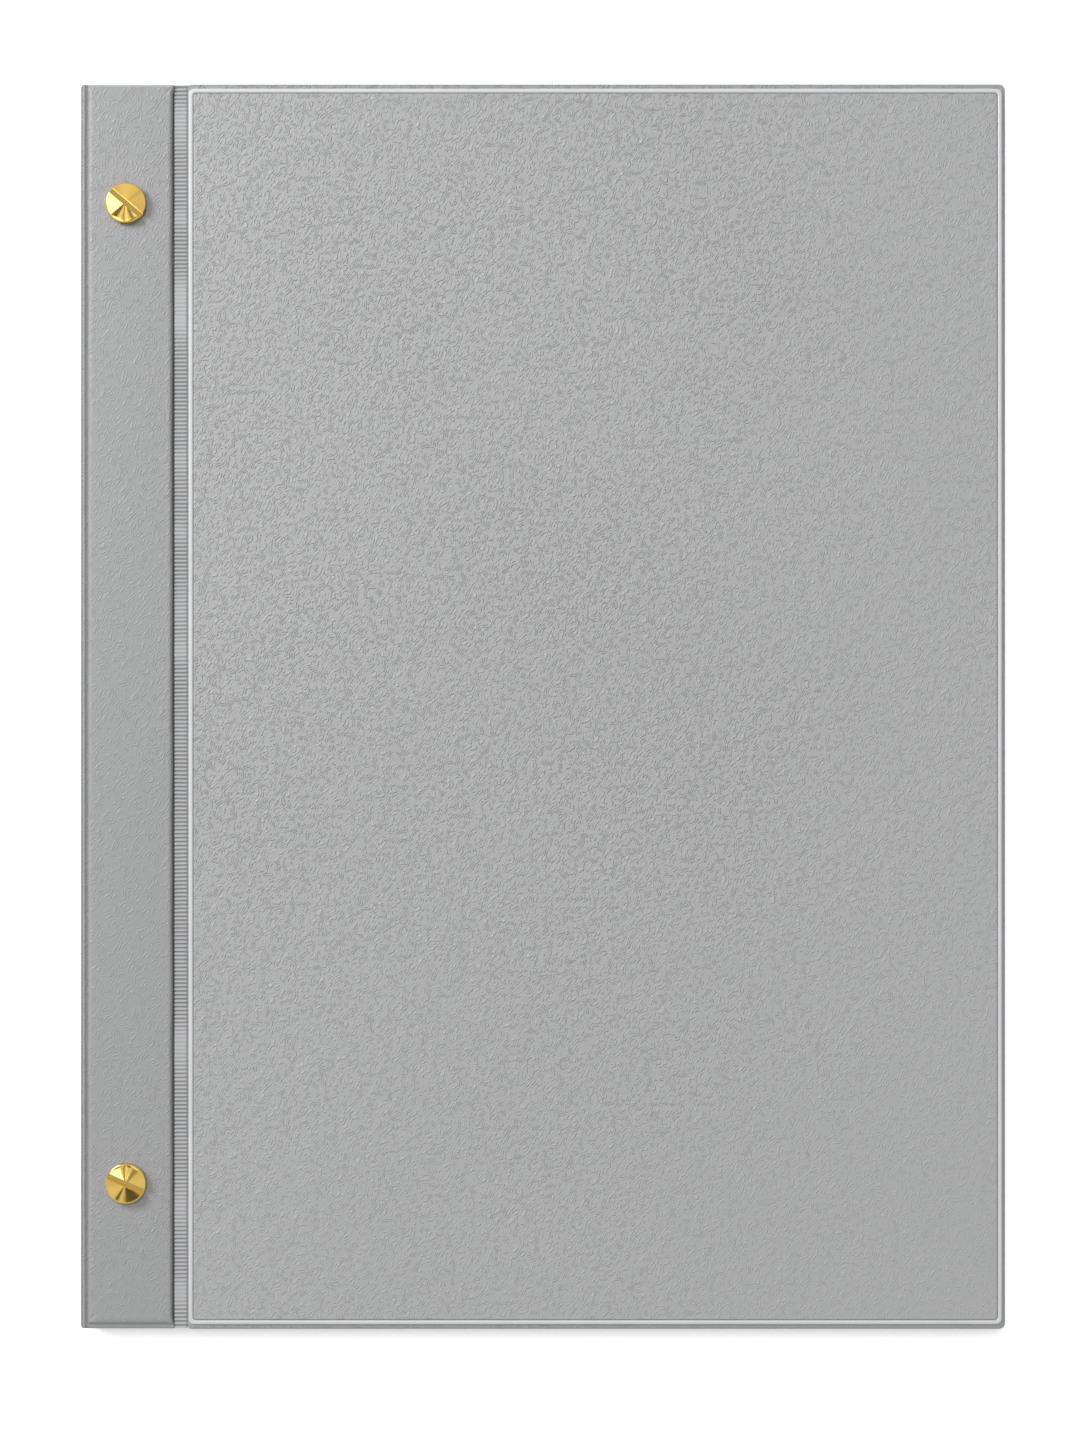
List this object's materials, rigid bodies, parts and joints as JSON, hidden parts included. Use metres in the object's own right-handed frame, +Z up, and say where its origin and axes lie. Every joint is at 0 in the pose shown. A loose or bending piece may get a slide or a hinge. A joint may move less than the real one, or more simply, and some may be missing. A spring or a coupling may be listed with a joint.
{
  "type": "display book",
  "caption": "Grey vinyl display book with a padded spine strip held by slotted brass screws, ribbed hinges, pale-edged covers and clear pockets inside.",
  "frame": {"origin": "centre of the footprint at the level of the outer face of the back cover", "axes": "+Z up out of the front cover, +Y towards the head of the book, +X towards the fore edge"},
  "size_m": [0.2378, 0.32, 0.0138],
  "materials": {
    "vinyl": "embossed leather grain, satin",
    "ribbed_vinyl": "fine cross ribs, satin",
    "lining": "smooth, satin",
    "pale_bead": "glossy",
    "greyboard": "matte",
    "pocket_film": "clear film over plain white sheets, glossy",
    "brass": "turned and polished"
  },
  "bodies": {
    "binding": {"front_strip_skin": "vinyl", "front_strip_board": "greyboard", "front_strip_lining": "lining", "back_strip_skin": "vinyl", "back_strip_board": "greyboard", "back_strip_lining": "lining", "spine_skin": "vinyl", "spine_board": "greyboard", "spine_lining": "lining", "pocket_pages": "pocket_film", "upper_screw": "brass", "lower_screw": "brass", "upper_post": "brass", "lower_post": "brass"},
    "front_hinge": {"front_web": "ribbed_vinyl"},
    "front_cover": {"front_panel_skin": "vinyl", "front_panel_board": "greyboard", "front_panel_lining": "lining", "front_panel_bead": "pale_bead"},
    "back_hinge": {"back_web": "ribbed_vinyl"},
    "back_cover": {"back_panel_skin": "vinyl", "back_panel_board": "greyboard", "back_panel_lining": "lining", "back_panel_bead": "pale_bead"}
  },
  "joints": [
    {"name": "front_web_fold", "type": "hinge", "parent": "binding", "child": "front_hinge", "pos_m": [-0.09463, 0, 0.01052], "axis": [0, -1, 0], "range_deg": [0, 85]},
    {"name": "front_cover_fold", "type": "hinge", "parent": "front_hinge", "child": "front_cover", "pos_m": [-0.09143, 0, 0.01052], "axis": [0, -1, 0], "range_deg": [0, 85]},
    {"name": "back_web_fold", "type": "hinge", "parent": "binding", "child": "back_hinge", "pos_m": [-0.09463, 0, 0.00152], "axis": [0, 1, 0], "range_deg": [0, 85]},
    {"name": "back_cover_fold", "type": "hinge", "parent": "back_hinge", "child": "back_cover", "pos_m": [-0.09143, 0, 0.00152], "axis": [0, 1, 0], "range_deg": [0, 85]}
  ]
}
